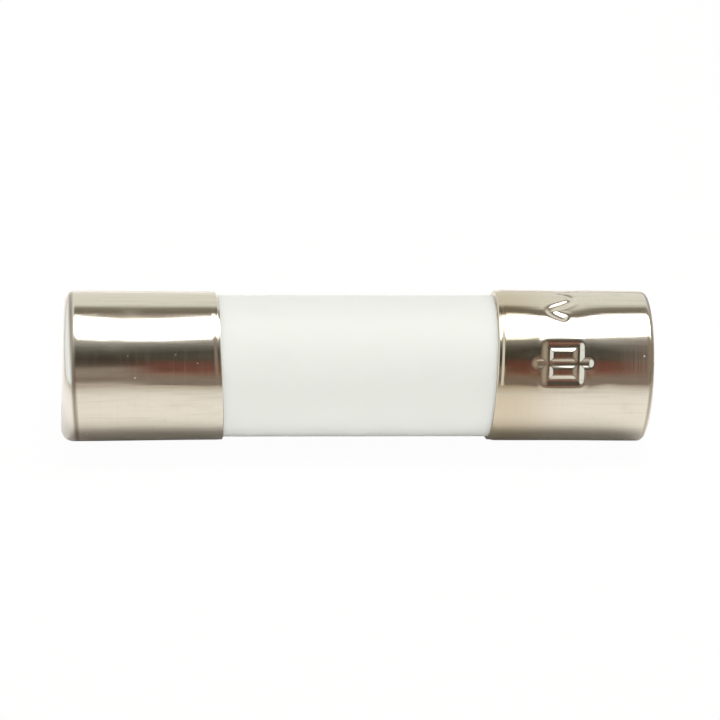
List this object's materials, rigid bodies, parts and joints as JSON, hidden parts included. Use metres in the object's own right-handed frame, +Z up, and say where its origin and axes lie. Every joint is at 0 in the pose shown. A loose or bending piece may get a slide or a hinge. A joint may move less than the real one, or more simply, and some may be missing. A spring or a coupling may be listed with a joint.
{
  "type": "cartridge fuse",
  "caption": "Cylindrical ceramic cartridge fuse with a pressed metal cap on each end, which clips into a fuse holder and protects a circuit.",
  "frame": {"origin": "the middle of the fuse, on its axis", "axes": "+X along the axis towards the stamped end cap, +Z up, -Y the front, where the first stamped symbol faces"},
  "size_m": [0.02, 0.0052, 0.0052],
  "materials": {
    "white_ceramic": "satin",
    "nickel_plate": "polished",
    "solder": "satin",
    "sealing_fibre": "matte",
    "glass_yarn": "satin",
    "tinned_copper": "satin",
    "quartz": "matte"
  },
  "bodies": {
    "root": {"ceramic_tube": "white_ceramic", "end_cap_left": "nickel_plate", "end_cap_right": "nickel_plate", "solder_pad_left": "solder", "solder_pad_right": "solder", "sealing_disc_left": "sealing_fibre", "sealing_disc_right": "sealing_fibre", "core_strand_1": "glass_yarn", "core_strand_2": "glass_yarn", "core_strand_3": "glass_yarn", "fuse_wire": "tinned_copper", "quartz_sand": "quartz"}
  },
  "joints": []
}
